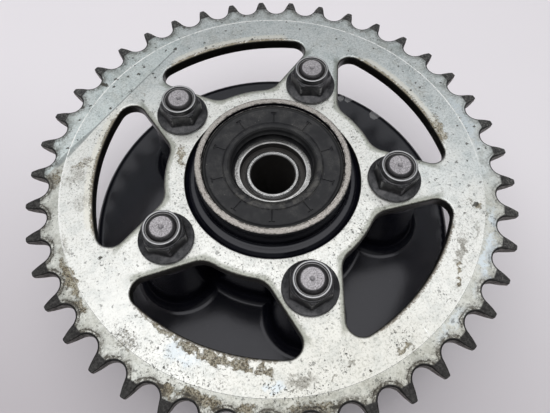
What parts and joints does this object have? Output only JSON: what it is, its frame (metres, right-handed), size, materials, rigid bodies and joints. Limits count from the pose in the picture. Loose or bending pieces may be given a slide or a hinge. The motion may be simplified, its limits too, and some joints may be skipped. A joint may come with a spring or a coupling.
{
  "type": "rear sprocket on mounting drum",
  "caption": "Toothed steel rear sprocket bolted to a black cast mounting drum, with its bearing, lip seal, spacer sleeve and damper vanes.",
  "frame": {"origin": "on the wheel axle's axis, on the surface that the drum's damper vanes stand on", "axes": "+Z along the axle axis towards the chain side and the nuts; the first stud lies in the -Y direction"},
  "size_m": [0.2214, 0.221, 0.0899],
  "materials": {
    "zinc_plate": "zinc plated steel, satin, pitted and stained",
    "black_paint": "cast aluminium under semi-gloss black paint, with a machined boss rim",
    "stud_steel": "dull plated steel",
    "dark_zinc": "dark grey plated steel, worn bright on the collar rim",
    "locking_nylon": "dark nylon",
    "bearing_steel": "ground bearing steel",
    "ball_steel": "polished steel",
    "pressed_steel": "pressed steel, satin",
    "seal_rubber": "satin moulded rubber",
    "hub_seal_rubber": "satin moulded rubber, dusty",
    "sleeve_steel": "turned steel"
  },
  "bodies": {
    "drum": {"sprocket": "zinc_plate", "sprocket_carrier": "black_paint", "carrier_studs": "stud_steel", "flange_nuts": "dark_zinc", "nut_lock_rings": "locking_nylon", "bearing_outer_ring": "bearing_steel", "bearing_seal_outer": "seal_rubber", "bearing_seal_inner": "seal_rubber", "bearing_seal_plate_outer": "pressed_steel", "bearing_seal_plate_inner": "pressed_steel", "hub_seal_rubber": "hub_seal_rubber", "hub_seal_case": "pressed_steel", "hub_seal_spring": "pressed_steel"},
    "inner_race": {"bearing_inner_ring": "bearing_steel", "spacer_sleeve": "sleeve_steel"},
    "ball_set": {"bearing_balls": "ball_steel", "cage_half_outer": "pressed_steel", "cage_half_inner": "pressed_steel", "cage_rivets": "pressed_steel"}
  },
  "joints": [
    {"name": "axle_spin", "type": "hinge", "parent": "drum", "child": "inner_race", "pos_m": [0, 0, 0.0728], "axis": [0, 0, 1], "continuous": true},
    {"name": "ball_set_spin", "type": "hinge", "parent": "drum", "child": "ball_set", "pos_m": [0, 0, 0.0728], "axis": [0, 0, 1], "continuous": true}
  ],
  "couplings": [
    {"joint": "ball_set_spin", "follows": "axle_spin", "ratio": 0.3677}
  ]
}
